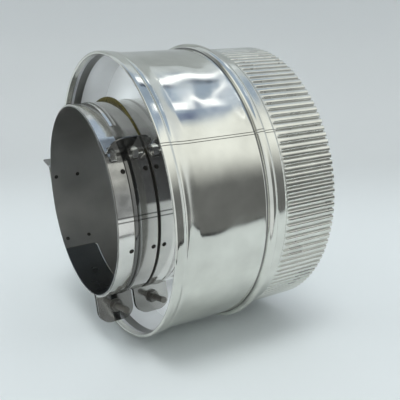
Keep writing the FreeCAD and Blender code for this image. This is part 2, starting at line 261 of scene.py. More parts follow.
def seam_fall(angles):
    """The depth of the lapped seam's two narrow grooves at each angle, each a V."""
    away = np.abs(turn_from(angles, SEAM_ANGLE)) * SHELL_RADIUS
    beside = np.abs(away - SEAM_PITCH / 2)
    return SEAM_DEPTH * np.clip(1 - beside / (SEAM_GROOVE / 2), 0, 1)


def seam_columns():
    """Angles of five columns in each groove: its sides, its slopes' middles and its bottom."""
    groove = np.array([-1, -0.5, 0, 0.5, 1]) * SEAM_GROOVE / 2
    beside = np.concatenate([groove - SEAM_PITCH / 2, groove + SEAM_PITCH / 2]) / SHELL_RADIUS
    return (SEAM_ANGLE + beside) % (2 * math.pi)


print("deepest point of the seam", seam_fall(seam_columns()).max().round(3), "mm")

# %% Draw of the sheet, in mm
CREASE_HEIGHT = 119.0
RIM_DRAW = 1.5
FLARE_LEAD = 1.0
BEAD_PULL, BEAD_PULL_REACH = 0.25, 10.0


def sheet_draw(heights):
    """How far the rollers drew the sheet out beside the bead, and from a crease to the rim.

    Beside the bead the radius falls by e for every BEAD_PULL_REACH of height. From the crease to
    FLARE_LEAD below the rim's step it grows by RIM_DRAW, half as a line and half as a square, so
    the sheet breaks at the crease and then flares. Over the step the growth is taken back.
    """
    above = heights - (BEAD_MIDDLE + BEAD_HALF)
    pull = BEAD_PULL * np.exp(-np.maximum(above, 0) / BEAD_PULL_REACH) * (above > 0)
    foot = SHELL_HEIGHT - RIM_DEPTH - RIM_STEP - FLARE_LEAD
    share = np.clip((heights - CREASE_HEIGHT) / (foot - CREASE_HEIGHT), 0, 1)
    back = np.clip((heights - foot) / (RIM_STEP + FLARE_LEAD), 0, 1)
    return pull + RIM_DRAW * (share + share ** 2) / 2 * (1 - back)


print("the sheet is drawn out by up to", sheet_draw(shell_outline[:, 1]).max().round(2), "mm")

# %% Dents
DENTS = np.array([
    # degrees round the axis, height, how deep, reach along the turn, reach along the height
    [-35.0, 78.0, 0.55, 13.0, 9.0],
    [-20.0, 92.0, -0.40, 12.0, 12.0],
    [-48.0, 96.0, 0.35, 11.0, 13.0],
    [-62.0, 76.0, -0.25, 10.0, 9.0],
    [-95.0, 84.0, 0.18, 9.0, 12.0],
    [-108.0, 100.0, -0.15, 12.0, 10.0],
    [-118.0, 78.0, 0.12, 8.0, 9.0],
    [35.0, 85.0, 0.30, 16.0, 12.0],
    [80.0, 95.0, -0.25, 18.0, 12.0],
    [130.0, 88.0, 0.25, 18.0, 12.0],
    [-160.0, 90.0, -0.2, 16.0, 12.0],
])
DENT_FADE = 5.0
DENT_TOP = CREASE_HEIGHT + 8.0


def dents(angles, heights):
    """Shallow dents and swellings from handling: a sum of bells in angle and height.

    They fade in over DENT_FADE above the bead and end at DENT_TOP, below the rim.
    """
    total = np.zeros((len(heights), len(angles)))
    for degrees, height, depth, along, up in DENTS:
        turn = turn_from(angles, math.radians(degrees))
        total += depth * np.exp(-(turn[None, :] * SHELL_RADIUS / along) ** 2
                                - ((heights - height) / up) ** 2)
    above = heights - BEAD_MIDDLE - BEAD_HALF
    return total * (heights < DENT_TOP) * np.clip(above / DENT_FADE, 0, 1)


print("dents", len(DENTS), "the deepest", DENTS[:, 2].max(), "mm")

# %% Shell body
PLAIN_COLUMNS = 440
SEAM_FOOT, SEAM_TOP = NECK + 2.0, SHELL_HEIGHT - 0.2
POCKET_FOOT, FLARE_LINE, FLARE_LINE_HALF = 132.4, 129.9, 0.6
# The numbers of the shell's materials, in the order that it is painted with. Both shades are darker
# steels, painted as shade.
OUTSIDE, INSIDE, SEAM_SHADE, FOLD_SHADE = range(4)


def shell_body(profile, last_outside):
    """The outline carried round the axis, less the seam and the dents, plus the sheet's draw.

    The seam's grooves, the dark lines and the pocket behind the hem get darker materials of their own,
    as painted shade.
    """
    plain = np.linspace(0, 2 * math.pi, PLAIN_COLUMNS, endpoint=False)
    angles = np.sort(np.concatenate([plain, seam_columns()]))
    heights = profile[:, 1:]
    seamed = (heights > SEAM_FOOT) * (heights < SEAM_TOP)
    fall = seam_fall(angles)
    r = profile[:, :1] + sheet_draw(heights) - fall[None, :] * seamed - dents(angles, heights)
    points = upright(r, angles, np.repeat(heights, len(angles), axis=1))
    finishes = np.full(r.shape, OUTSIDE)
    # The grooves are painted darker, as shade. A face lies in a groove where one of its two columns
    #     does, beyond a rounding error.
    finishes[:, (fall + np.roll(fall, -1)) > SEAM_DEPTH / 100] = SEAM_SHADE
    for low, high in BEAD_LINES + SHEET_LINES:
        finishes[(profile[:, 1] > low) & (profile[:, 1] < high)] = FOLD_SHADE
    finishes[last_outside:, :] = INSIDE
    # The pocket behind the hem and a line where the flare starts are painted shade as well.
    pocket = (profile[:, 1] > POCKET_FOOT) | (np.abs(profile[:, 1] - FLARE_LINE) < FLARE_LINE_HALF)
    finishes[last_outside:][pocket[last_outside:]] = FOLD_SHADE
    faces = grid_faces(len(profile), len(angles), True, True)
    return add_mesh("shell_body", points, faces, finishes=finishes.reshape(-1))


shell = shell_body(shell_outline, last_outside)
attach(shell, "root")
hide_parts("outer_shell")
print("shell faces", len(shell.data.polygons))

# %% [markdown]
# ## The crimped end
#
# A crimper gathers the sheet's end into even flutes, so that it slides into the next pipe. Pressing
# a tool into a mesh would be slow and uneven. Here the radius follows one short wave formula,
# repeated round the turn, and the wave dies out in a blunt end before the neck.

# %% Flutes, in mm
FLUTES = 128
FLUTE_DEPTH = 2.2
VALLEY_SHARE = 0.40
CREST_ROUNDING = 0.34
FLUTE_SAMPLES = 12
FLUTE_END_GAP, FLUTE_RUNOUT = 0.3, 4.0
FLUTE_ROWS = np.concatenate([[0.0, 0.4], np.linspace(3, 38, 8), [40, 41.2, 42.2, 43.0, 43.8, 44.5, NECK]])
FLUTE_CREASE = 60.0
# The flutes' third material is for faces that lie deeper than DEEP_SHARE of the depth. It is a
# darker, partly matt steel, painted as shade in the valleys.
VALLEY_SHADE, DEEP_SHARE = 2, 0.36


def flute_fall(turn):
    """How far the sheet lies below the crest, in mm, along one flute of a turn of 2 pi.

    The crest is a low arch, a cosine of CREST_ROUNDING. The valley takes VALLEY_SHARE of the
    pitch: a raised cosine that falls to FLUTE_DEPTH in its middle.
    """
    away = np.abs(turn_from(turn, 0.0)) / math.pi
    arch = CREST_ROUNDING * (1 - np.cos(math.pi * away)) / 2
    inside = np.clip((away - (1 - VALLEY_SHARE)) / VALLEY_SHARE, 0, 1)
    return arch + (FLUTE_DEPTH - CREST_ROUNDING) * (0.5 - 0.5 * np.cos(math.pi * inside))


def shell_flutes():
    """The fluted wall: the fall at each angle times a share of each height.

    The share is 1 along the end and drops to 0 as a quarter circle over FLUTE_RUNOUT.
    """
    angles = np.linspace(0, 2 * math.pi, FLUTES * FLUTE_SAMPLES, endpoint=False)
    share = np.clip((NECK - FLUTE_END_GAP - FLUTE_ROWS) / FLUTE_RUNOUT, 0, 1)
    share = np.sqrt(share * (2 - share))
    fall = share[:, None] * flute_fall(angles * FLUTES)[None, :]
    outer = CREST_RADIUS - fall
    r = np.concatenate([outer, (outer - SHELL_WALL)[::-1]])
    z = np.concatenate([FLUTE_ROWS, FLUTE_ROWS[::-1]])[:, None] + 0 * r
    finishes = np.full(r.shape, OUTSIDE)
    depth = (fall + np.roll(fall, -1, axis=1)) / 2
    finishes[:len(FLUTE_ROWS)][depth > DEEP_SHARE * FLUTE_DEPTH] = VALLEY_SHADE
    finishes[len(FLUTE_ROWS):, :] = INSIDE
    faces = grid_faces(len(r), len(angles), True, True)
    return add_mesh("shell_flutes", upright(r, angles, z), faces, FLUTE_CREASE, finishes.reshape(-1))


flutes = shell_flutes()
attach(flutes, "root")
print("flutes", FLUTES, "with", len(flutes.data.polygons), "faces")

# %% [markdown]
# ## Shaded holes
#
# Small holes go through the bands and the tube. On the real part they look dark from both sides,
# because the layer behind each hole lies in shade. A small dark curved disc of painted shade lies in
# the thin space between band and tube behind each hole, and steel plugs close the holes that don't
# show inside the tube.

# %% Hole discs, in mm
HOLE_ANGLES = (74.0, 117.75)
# Each ring's middle, and 1 or -1, because the rear ring is the front one turned over.
RING_MIDDLES = ((147.2, 1), (115.0, -1))
LEFT_HEIGHTS = (-9.0, 10.6)
RIGHT_HEIGHTS = (-11.85, 5.25)
# Sizes of the dark discs of painted shade, and of the steel plugs.
SHADE_DISC_RADIUS, SHADE_DISC_INNER, SHADE_DISC_OUTER = 2.4, 75.07, 75.13
PLUG_RADIUS, PLUG_INNER, PLUG_OUTER = 1.76, 74.49, 75.04
DISC_RINGS, DISC_SIDES, DISC_HOLE = 4, 20, 0.02


def hole_discs(name, reach, inner, outer, places):
    """Discs bent to the tube: rings of points round each hole, on two radii.

    places holds a row of degrees round the axis and height for each disc, and reach is its radius.
    """
    rings = np.linspace(DISC_HOLE, 1, DISC_RINGS)
    turns = np.linspace(0, 2 * math.pi, DISC_SIDES, endpoint=False)
    out = np.concatenate([rings, rings[::-1]])
    radius = np.repeat([inner, outer], DISC_RINGS)[None, :, None]
    degrees, heights = np.array(places).T
    angle = np.radians(degrees)[:, None, None] + reach * out[:, None] * np.cos(turns) / outer
    z = heights[:, None, None] + reach * out[:, None] * np.sin(turns)
    one = grid_faces(len(out), DISC_SIDES, True, True)
    shifts = np.arange(len(places)) * out.size * DISC_SIDES
    faces = (one[None] + shifts[:, None, None]).reshape(-1, 4)
    return add_mesh(name, upright(radius, angle, z), faces)


def hole_places(side, heights, rings):
    """Degrees and height of each hole: every angle, ring and step from the ring's middle."""
    return [(side * degrees, middle + turned * step)
            for degrees in HOLE_ANGLES for middle, turned in rings for step in heights]


dark_places = (hole_places(1, LEFT_HEIGHTS, RING_MIDDLES)
               + hole_places(-1, RIGHT_HEIGHTS, RING_MIDDLES))
plug_places = hole_places(1, LEFT_HEIGHTS, RING_MIDDLES[1:])
# Dark discs of painted shade behind the holes, and steel plugs.
shade_discs = hole_discs("hole_shade_discs", SHADE_DISC_RADIUS, SHADE_DISC_INNER, SHADE_DISC_OUTER, dark_places)
plugs = hole_discs("hole_plugs", PLUG_RADIUS, PLUG_INNER, PLUG_OUTER, plug_places)
for piece, slot in ((shade_discs, "seal_rope"), (plugs, "tube_steel")):
    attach(piece, "root")
print("discs", len(dark_places), "plugs", len(plug_places))

# %% [markdown]
# ## The cover strip's bright edge
#
# The dark strip inside the mouth was cut with shears, and its cut edge shines. A paler material on
# the strip's edge would be thinner than a pixel. A thin round bead follows the edge instead: down
# one side, round a small corner, along the foot and up the other side.

# %% Cover edge, in mm
COVER_RADIUS = 74.18
COVER_HALF_ANGLE = math.radians(55.0)
COVER_FOOT, COVER_TOP = 134.0, 162.3
COVER_CORNER = 3.0
EDGE_RADIUS = 0.33
SIDE_POINTS, BEND_POINTS, FOOT_POINTS, EDGE_SIDES = 12, 8, 50, 8


def cover_edge():
    """A tube along a path. Each ring is a circle in the radial and the sideways direction.

    The path is worked out for one half, as lengths along the turn and heights, and mirrored.
    """
    half = COVER_HALF_ANGLE * COVER_RADIUS
    turns = np.linspace(0, math.pi / 2, BEND_POINTS)
    side = np.stack([np.full(SIDE_POINTS, -half),
                     np.linspace(COVER_TOP, COVER_FOOT + COVER_CORNER, SIDE_POINTS)], axis=1)
    bend = np.stack([-half + COVER_CORNER * (1 - np.cos(turns)),
                     COVER_FOOT + COVER_CORNER * (1 - np.sin(turns))], axis=1)
    foot = np.stack([np.linspace(-half + COVER_CORNER, 0, FOOT_POINTS),
                     np.full(FOOT_POINTS, COVER_FOOT)], axis=1)
    first = np.concatenate([side, bend[1:], foot[1:]])
    run = np.concatenate([first, (first * [-1, 1])[-2::-1]])
    angle = math.pi + run[:, 0] / COVER_RADIUS
    out = np.stack([np.cos(angle), np.sin(angle), 0 * angle], axis=1)
    points = out * COVER_RADIUS + np.stack([0 * angle, 0 * angle, run[:, 1]], axis=1)
    ahead = np.gradient(points, axis=0)
    ahead /= np.linalg.norm(ahead, axis=1, keepdims=True)
    aside = np.cross(ahead, out)
    circle = np.linspace(0, 2 * math.pi, EDGE_SIDES, endpoint=False)
    rings = (points[:, None] + EDGE_RADIUS * (np.cos(circle)[None, :, None] * out[:, None]
                                              - np.sin(circle)[None, :, None] * aside[:, None]))
    faces = grid_faces(len(points), EDGE_SIDES, False, True)
    # Three faces close a ring of eight points.
    caps = np.array([[0, 1, 2, 3], [0, 3, 4, 7], [4, 5, 6, 7]])
    last = (len(points) - 1) * EDGE_SIDES
    faces = np.concatenate([faces, caps, (caps + last)[:, ::-1]])
    return add_mesh("cover_edge", rings * MM, faces)


edge = cover_edge()
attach(edge, "root")
print("cover edge faces", len(edge.data.polygons))

# %% [markdown]
# ## The rope seal
#
# A soft fibre rope is pushed into the slot between the two rings of bands. It bulges out over the
# crown and sinks below the bands elsewhere. A curve with a bevel couldn't swell like that, so it is
# a ring whose thickness follows the angle, with a small wave for its twisted strands.

# %% Rope, in mm
ROPE_FOOT, ROPE_TOP = 130.05, 132.15
ROPE_BORE = 75.25
ROPE_SUNK, ROPE_BULGE = 0.30, 3.9
ROPE_MIDDLE = math.radians(12.0)
BULGE_END, BULGE_SLOPE = math.radians(70), math.radians(45)
ROPE_STRANDS, STRAND_SAMPLES, ROPE_SIDES = 150, 6, 20
STRAND_DEPTH, ROPE_SQUARENESS = 0.06, 0.7


def rope_ring():
    """The rope's section is a flattened circle. Its reach falls from the crown to both sides.

    The reach is ROPE_SUNK, and ROPE_BULGE more at ROPE_MIDDLE, by a smooth step of the angle. The
    strands thin it by a cosine that turns twice round the section for each turn of the strand.
    """
    angles = np.linspace(0, 2 * math.pi, ROPE_STRANDS * STRAND_SAMPLES, endpoint=False)
    section = np.linspace(0, 2 * math.pi, ROPE_SIDES, endpoint=False)
    share = np.clip((BULGE_END - np.abs(turn_from(angles, ROPE_MIDDLE))) / BULGE_SLOPE, 0, 1)
    reach = ROPE_SUNK + ROPE_BULGE * share * share * (3 - 2 * share)
    wave = np.cos(ROPE_STRANDS * angles[None, :] + 2 * section[:, None])
    twist = 1 - STRAND_DEPTH * (0.5 + 0.5 * wave)
    bulge = np.sign(np.cos(section)) * np.abs(np.cos(section)) ** ROPE_SQUARENESS
    r = ROPE_BORE + reach[None, :] * twist * (0.5 + 0.5 * bulge[:, None])
    half = (ROPE_TOP - ROPE_FOOT) / 2
    z = (ROPE_FOOT + half) + half * np.sin(section)[:, None] * twist
    faces = grid_faces(ROPE_SIDES, len(angles), True, True)
    return add_mesh("rope_fibre", upright(r, angles, z), faces)


rope = rope_ring()
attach(rope, "root")
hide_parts("rope_seal")
print("rope faces", len(rope.data.polygons))

# %% [markdown]
# ## Helpers for materials
#
# A material is a small sum worked out at every point of a surface. Each helper adds a node or two,
# fills the sockets with links or with plain values, and gives what the next node needs.

# %% Node helpers
def fill(tree, made, sockets):
    """Fills a node's sockets, by name or number, each with a link or with a value."""
    for key, value in sockets.items():
        if isinstance(value, bpy.types.NodeSocket):
            tree.links.new(value, made.inputs[key])
        else:
            made.inputs[key].default_value = value
    return made


def calculate(tree, operation, *values):
    """A sum of one kind on links or numbers."""
    made = tree.nodes.new("ShaderNodeMath")
    made.operation = operation
    return fill(tree, made, dict(enumerate(values))).outputs[0]


def times(tree, first, second):
    """Two shares multiplied, so that both have to hold."""
    return calculate(tree, "MULTIPLY", first, second)


def ramp(tree, value, low, high, first=0.0, last=1.0, way="LINEAR"):
    """first where the value is low, last where it is high, and straight or smooth between them."""
    made = tree.nodes.new("ShaderNodeMapRange")
    made.interpolation_type = way
    return fill(tree, made, {"Value": value, "From Min": low, "From Max": high,
                             "To Min": first, "To Max": last}).outputs["Result"]


def blend(tree, share, first, second, way="MIX"):
    """Two colours mixed by a share, each a link or a tuple of red, green and blue."""
    made = tree.nodes.new("ShaderNodeMix")
    made.data_type = "RGBA"
    made.blend_type = way
    first, second = ((*value, 1) if isinstance(value, tuple) else value for value in (first, second))
    return fill(tree, made, {"Factor": share, 6: first, 7: second}).outputs[2]


def share_along(tree, vector, axis):
    """How much of a vector lies along an axis: their dot product."""
    made = tree.nodes.new("ShaderNodeVectorMath")
    made.operation = "DOT_PRODUCT"
    return fill(tree, made, {0: vector, 1: axis}).outputs["Value"]


print("number and colour helpers are ready:", calculate.__name__, ramp.__name__, blend.__name__)

# %% Pattern helpers
def noise(tree, place, scale, detail):
    """Clouds from 0 to 1, so many to the metre as the scale says."""
    made = tree.nodes.new("ShaderNodeTexNoise")
    return fill(tree, made, {"Vector": place, "Scale": scale, "Detail": detail}).outputs["Fac"]


def shades(tree, value, low, high, dark, light):
    """A colour that goes from dark at low to light at high."""
    made = fill(tree, tree.nodes.new("ShaderNodeValToRGB"), {"Fac": value})
    for element, position, colour in zip(made.color_ramp.elements, (low, high), (dark, light)):
        element.position = position
        element.color = (*colour, 1)
    return made.outputs["Color"]


def bump(tree, height, distance, below=None):
    """The normal of a surface that rises by height times distance, in metres.

    below is the normal of a larger bump that this one lies on.
    """
    sockets = {"Height": height, "Strength": 1.0, "Distance": distance}
    if below is not None:
        sockets["Normal"] = below
    return fill(tree, tree.nodes.new("ShaderNodeBump"), sockets).outputs["Normal"]


def new_material(name):
    """An empty material and its tree of nodes."""
    material = bpy.data.materials.new(name)
    material.use_nodes = True
    material.node_tree.nodes.clear()
    return material, material.node_tree


def object_place(tree):
    """The point's place in the piece's own coordinates, and the same as X, Y and Z."""
    place = tree.nodes.new("ShaderNodeTexCoord").outputs["Object"]
    split = fill(tree, tree.nodes.new("ShaderNodeSeparateXYZ"), {"Vector": place})
    return place, [split.outputs[axis] for axis in "XYZ"]


def surface(tree, sockets):
    """A principled surface with the given sockets, joined to the material's output."""
    shader = fill(tree, tree.nodes.new("ShaderNodeBsdfPrincipled"), sockets)
    fill(tree, tree.nodes.new("ShaderNodeOutputMaterial"), {"Surface": shader.outputs["BSDF"]})


print("pattern helpers are ready:", noise.__name__, shades.__name__, bump.__name__)

# %% [markdown]
# ## Polished steel
#
# Polished stainless steel is a metal surface: nearly all that it shows is its surroundings. What
# makes it look real is how the reflections bend and smear. So a cloud of noise moves the roughness
# and the colour a little, a slow wave makes straight lines wobble as rolled sheet does, and a fine
# grain softens them.

# %% Steel
CLOUD_SCALE, CLOUD_DETAIL, CLOUD_LOW, CLOUD_HIGH = 42.0, 3.0, 0.3, 0.7
WAVE_DETAIL = 1.0
GRAIN_SCALE, GRAIN_DETAIL = 900.0, 2.0
DARK_SHARE = 0.80


def steel(name, colour, rough, spread, wave, rise, grain, shine=1.0, below=None, over=None):
    """A polished metal whose roughness and surface follow noise in the piece's own coordinates.

    It is rough to rough + spread. The wave has a size and a rise in metres, and the grain a rise.
    below gives the normal of a larger form under the wave, and over changes the colour.
    """
    material, tree = new_material(name)
    place, _ = object_place(tree)
    cloud = noise(tree, place, CLOUD_SCALE, CLOUD_DETAIL)
    dark = [part * DARK_SHARE for part in colour]
    tone = shades(tree, cloud, CLOUD_LOW, CLOUD_HIGH, dark, colour)
    slow = bump(tree, noise(tree, place, 1.0 / wave, WAVE_DETAIL), rise, below(tree) if below else None)
    fine = bump(tree, noise(tree, place, GRAIN_SCALE, GRAIN_DETAIL), grain, slow)
    surface(tree, {"Metallic": shine, "Normal": fine,
                   "Base Color": over(tree, tone) if over else tone,
                   "Roughness": ramp(tree, cloud, CLOUD_LOW, CLOUD_HIGH, rough, rough + spread)})
    return material


shell_steel = steel("polished shell steel", (0.79, 0.79, 0.73), 0.05, 0.12, 0.030, 0.00045, 0.000003)
# Dark steels for painted shade in the seam's grooves and in the creases.
seam_shade_steel = steel("painted seam shade", (0.33, 0.32, 0.30), 0.30, 0.10, 0.045, 0.0002, 0.000004)
fold_shade_steel = steel("painted fold shade", (0.20, 0.20, 0.19), 0.30, 0.10, 0.045, 0.0002, 0.000004)
# A darker, partly matt steel for painted shade in the flutes' valleys.
valley_shade_steel = steel("flute valley shade steel", (0.66, 0.66, 0.62), 0.24, 0.12, 0.030, 0.0002, 0.000004,
                     shine=0.70)
tube_steel = steel("rolled tube steel", (0.46, 0.455, 0.435), 0.36, 0.06, 0.05, 0.0001, 0.000004)
cover_steel = steel("blued cover steel", (0.27, 0.285, 0.295), 0.26, 0.08, 0.05, 0.0001, 0.000004)
nut_steel = steel("plated nut steel", (0.20, 0.195, 0.18), 0.30, 0.1, 0.01, 0.0001, 0.00001)
print("steels", len(bpy.data.materials))

# %% [markdown]
# ## Threads
#
# The closing bolts' shanks are plain in the CAD model. Real threads would take thousands of faces
# for a few pixels, so a bump stands for them. It is coarser than the real pitch of 0.8 mm, which
# would be lost between the picture's pixels.

# %% Bolt threads, in metres
THREAD_PITCH, THREAD_DEPTH = 0.0011, 0.0004


def threads(tree):
    """The normal of threads on bolts that lie along Y: a triangle wave of the pitch."""
    _, (_, y, _) = object_place(tree)
    wave = calculate(tree, "PINGPONG", y, THREAD_PITCH / 2)
    return bump(tree, calculate(tree, "DIVIDE", wave, THREAD_PITCH / 2), THREAD_DEPTH)


bolt_steel = steel("plated bolt steel", (0.22, 0.21, 0.19), 0.28, 0.1, 0.01, 0.0001, 0.00001,
                   below=threads)
print("threads have a pitch of", THREAD_PITCH / MM, "mm")

# %% [markdown]
# ## The clamp bands
#
# The bands are mirrors too. Their front halves seem to lean in towards the mouth, because they show
# another part of the room than a straight band would, and a bump with a straight slope does the
# same. Their colour is painted darker in zones: a painted dark reflection on one side of the front
# half and on the ears, painted shade in the rib, and two thin lines across the rings that are
# painted reflections of the table's edge. Each zone is a product of steps of the radius, the height
# or the angle.

# %% Band form, in metres and degrees
FRONT_FOOT, FRONT_TOP = 0.1505, 0.1620
CONE_FALL = 0.0011
RING_REACH = 0.0772
DARK_REFLECTION_FINISH = -53.0


def radius_of(tree, x, y):
    """The distance from the axis: the root of x squared plus y squared."""
    return calculate(tree, "SQRT", calculate(tree, "ADD", times(tree, x, x), times(tree, y, y)))


def lean(tree):
    """The normal of a faint cone that falls towards the mouth from FRONT_FOOT up.

    It holds on the ring itself and up to the angle DARK_REFLECTION_FINISH, and the plain normal elsewhere.
    """
    _, (x, y, z) = object_place(tree)
    cone = bump(tree, ramp(tree, z, FRONT_FOOT, FRONT_TOP, 1.0, 0.0), CONE_FALL)
    on_ring = calculate(tree, "LESS_THAN", radius_of(tree, x, y), RING_REACH)
    facing = calculate(tree, "LESS_THAN", calculate(tree, "ARCTAN2", y, x), math.radians(DARK_REFLECTION_FINISH))
    made = tree.nodes.new("ShaderNodeMix")
    made.data_type = "VECTOR"
    fill(tree, made, {"Factor": times(tree, on_ring, facing),
                      4: tree.nodes.new("ShaderNodeNewGeometry").outputs["Normal"], 5: cone})
    return made.outputs[1]


print("the cone is", round(math.degrees(math.atan2(CONE_FALL, FRONT_TOP - FRONT_FOOT)), 1), "degrees")

# %% Painted reflections and shade on the bands, in metres and degrees
SOFT = 0.0003
# Shares of the colour that the painted reflections and painted shade leave, and where they lie.
OFF_RING, OFF_RING_REFLECTION_LEFT = 0.07645, (0.46, 0.46, 0.46)
EAR_X, HOOK_RISE = -0.060, 0.0070
RIB_FOOT, RIB_TOP, RIB_SHADE_LEFT = 0.1446, 0.1499, (0.22, 0.22, 0.22)
DARK_REFLECTION_FOOT, DARK_REFLECTION_LEFT = 0.1499, (0.30, 0.62)
DARK_REFLECTION_START, DARK_REFLECTION_START_SOFT, DARK_REFLECTION_FINISH_SOFT = -99.0, 1.0, 2.0
DARK_REFLECTION_CLOUD_SCALE, DARK_REFLECTION_CLOUD_DETAIL, DARK_REFLECTION_CLOUD_LOW, DARK_REFLECTION_CLOUD_HIGH = 60.0, 3.0, 0.35, 0.65
EDGE_REFLECTION_LINES, EDGE_REFLECTION_HALF, EDGE_REFLECTION_LEFT = (-98.0, -100.4), 0.62, (0.14, 0.14, 0.14)


def painted_reflection(tree, colour):
    """The bands' colour times the share that the painted reflections and shade leave of it in each zone.

    The last zone, painted darker as dark reflection, is what lies outside OFF_RING: the ears at the
    closing bolts, where X is below EAR_X, and elsewhere only what stands HOOK_RISE further out.
    """
    place, (x, y, z) = object_place(tree)
    turned = calculate(tree, "ARCTAN2", y, x)

    def from_angle(start, finish):
        return ramp(tree, turned, math.radians(start), math.radians(finish))

    before_end = from_angle(DARK_REFLECTION_FINISH, DARK_REFLECTION_FINISH - DARK_REFLECTION_FINISH_SOFT)
    side = times(tree, from_angle(DARK_REFLECTION_START, DARK_REFLECTION_START + DARK_REFLECTION_START_SOFT), before_end)
    # The front half on the side towards the camera gets a mottled painted dark reflection.
    front = times(tree, side, ramp(tree, z, DARK_REFLECTION_FOOT, DARK_REFLECTION_FOOT + SOFT))
    cloud = noise(tree, place, DARK_REFLECTION_CLOUD_SCALE, DARK_REFLECTION_CLOUD_DETAIL)
    left = ramp(tree, cloud, DARK_REFLECTION_CLOUD_LOW, DARK_REFLECTION_CLOUD_HIGH, *DARK_REFLECTION_LEFT)
    colour = blend(tree, front, colour, left, "MULTIPLY")
    # The rib is painted dark, as shade.
    rib = times(tree, ramp(tree, z, RIB_FOOT, RIB_FOOT + SOFT), ramp(tree, z, RIB_TOP + SOFT, RIB_TOP))
    colour = blend(tree, times(tree, rib, before_end), colour, RIB_SHADE_LEFT, "MULTIPLY")
    # Two thin lines are painted reflections of the table's front edge.
    for middle in EDGE_REFLECTION_LINES:
        sides = (from_angle(middle + sign * EDGE_REFLECTION_HALF, middle) for sign in (-1, 1))
        colour = blend(tree, times(tree, *sides), colour, EDGE_REFLECTION_LEFT, "MULTIPLY")
    # The ears and what stands far out are painted darker, as dark reflection.
    hooks = ramp(tree, x, EAR_X, EAR_X + SOFT)
    reach = calculate(tree, "MULTIPLY_ADD", hooks, -HOOK_RISE, radius_of(tree, x, y))
    off_ring = ramp(tree, reach, OFF_RING, OFF_RING + SOFT)
    return blend(tree, off_ring, colour, OFF_RING_REFLECTION_LEFT, "MULTIPLY")


band_steel = steel("polished band steel", (0.80, 0.79, 0.75), 0.08, 0.05, 0.02, 0.0001, 0.000003,
                   shine=0.88, below=lean, over=painted_reflection)
print("band nodes", len(band_steel.node_tree.nodes))

# %% [markdown]
# ## The shell's inner side
#
# Deep in the ring gap the sheet is pale and dull, and towards the mouth it is polished. On the side
# towards the camera it is painted dark, as shade. All three are one material, because they lie on one
# sheet and change by height and angle alone.

# %% Inner steel
DULL_DEPTH, DULL_SOFT = 0.1000, 0.0006
# Where the inner side is painted dark as shade, between soft ends in degrees, and its colour.
INNER_SHADE_ANGLES = ((-96.8, -94.6), (-30.0, -45.0))
INNER_SHADE = (0.07, 0.07, 0.08)
PALE_DARK, PALE_LIGHT = (0.86, 0.87, 0.89), (0.92, 0.93, 0.95)
PALE_CLOUD_SCALE = 30.0
INNER_SHINE, DULL_ROUGH, POLISHED_ROUGH = 0.26, 0.60, 0.24


def inner_material():
    """The shell's inner side: polished near the mouth, and pale and dull below DULL_DEPTH.

    Between the two soft ends given in degrees round the axis, it is painted dark, as shade.
    """
    material, tree = new_material("dull inner steel")
    place, (x, y, z) = object_place(tree)
    cloud = noise(tree, place, PALE_CLOUD_SCALE, CLOUD_DETAIL)
    pale = shades(tree, cloud, CLOUD_LOW, CLOUD_HIGH, PALE_DARK, PALE_LIGHT)
    turned = calculate(tree, "ARCTAN2", y, x)
    ends = [ramp(tree, turned, math.radians(start), math.radians(finish), way="SMOOTHSTEP")
            for start, finish in INNER_SHADE_ANGLES]
    polished = ramp(tree, z, DULL_DEPTH - DULL_SOFT, DULL_DEPTH + DULL_SOFT)
    surface(tree, {"Base Color": blend(tree, times(tree, *ends), pale, INNER_SHADE),
                   "Metallic": ramp(tree, polished, 0.0, 1.0, 0.0, INNER_SHINE),
                   "Roughness": ramp(tree, polished, 0.0, 1.0, DULL_ROUGH, POLISHED_ROUGH)})
    return material


inner_steel = inner_material()
print("inner steel nodes", len(inner_steel.node_tree.nodes))

# %% [markdown]
# ## Fibre and hole shade
#
# The rope is woven from olive fibre. Away from the crown, where it sinks into the slot, it is painted
# black as shade. The discs behind the small holes are a matt brown-black, painted as shade. Both are
# rough, so noise in the colour does the work, and the rope's noise also lifts its surface.

# %% Rope fibre and hole shade
FIBRE_SCALE, FIBRE_DETAIL, FIBRE_LOW, FIBRE_HIGH = 700.0, 5.0, 0.35, 0.65
# The third fibre colour is painted shade, where the rope sinks between the bands.
FIBRE_DARK, FIBRE_LIGHT, FIBRE_SHADE = (0.035, 0.030, 0.008), (0.20, 0.175, 0.045), (0.012, 0.011, 0.008)
FIBRE_ROUGH, FIBRE_RISE = 0.9, 0.0004
ROPE_SHADE_END, ROPE_CROWN_START = 0.030, 0.050
HOLE_SHADE_SCALE, HOLE_SHADE_DETAIL, HOLE_SHADE_ROUGH = 900.0, 2.0, 0.8
HOLE_SHADE_DARK, HOLE_SHADE_LIGHT = (0.006, 0.005, 0.004), (0.03, 0.027, 0.02)


def rope_material():
    """Woven fibre in light and dark olive, painted black as shade where X is below the ramp's low end,
    away from the crown.
    """
    material, tree = new_material("seal rope fibre")
    place, (x, _, _) = object_place(tree)
    fibre = noise(tree, place, FIBRE_SCALE, FIBRE_DETAIL)
    olive = shades(tree, fibre, FIBRE_LOW, FIBRE_HIGH, FIBRE_DARK, FIBRE_LIGHT)
    crown = ramp(tree, x, ROPE_SHADE_END, ROPE_CROWN_START)
    surface(tree, {"Base Color": blend(tree, crown, FIBRE_SHADE, olive), "Roughness": FIBRE_ROUGH,
                   "Normal": bump(tree, fibre, FIBRE_RISE)})
    return material


def hole_shade_material():
    """Painted shade behind the holes: a matt brown-black with a little cloud."""
    material, tree = new_material("painted hole shade")
    place, _ = object_place(tree)
    cloud = noise(tree, place, HOLE_SHADE_SCALE, HOLE_SHADE_DETAIL)
    surface(tree, {"Base Color": shades(tree, cloud, 0.0, 1.0, HOLE_SHADE_DARK, HOLE_SHADE_LIGHT),
                   "Roughness": HOLE_SHADE_ROUGH})
    return material


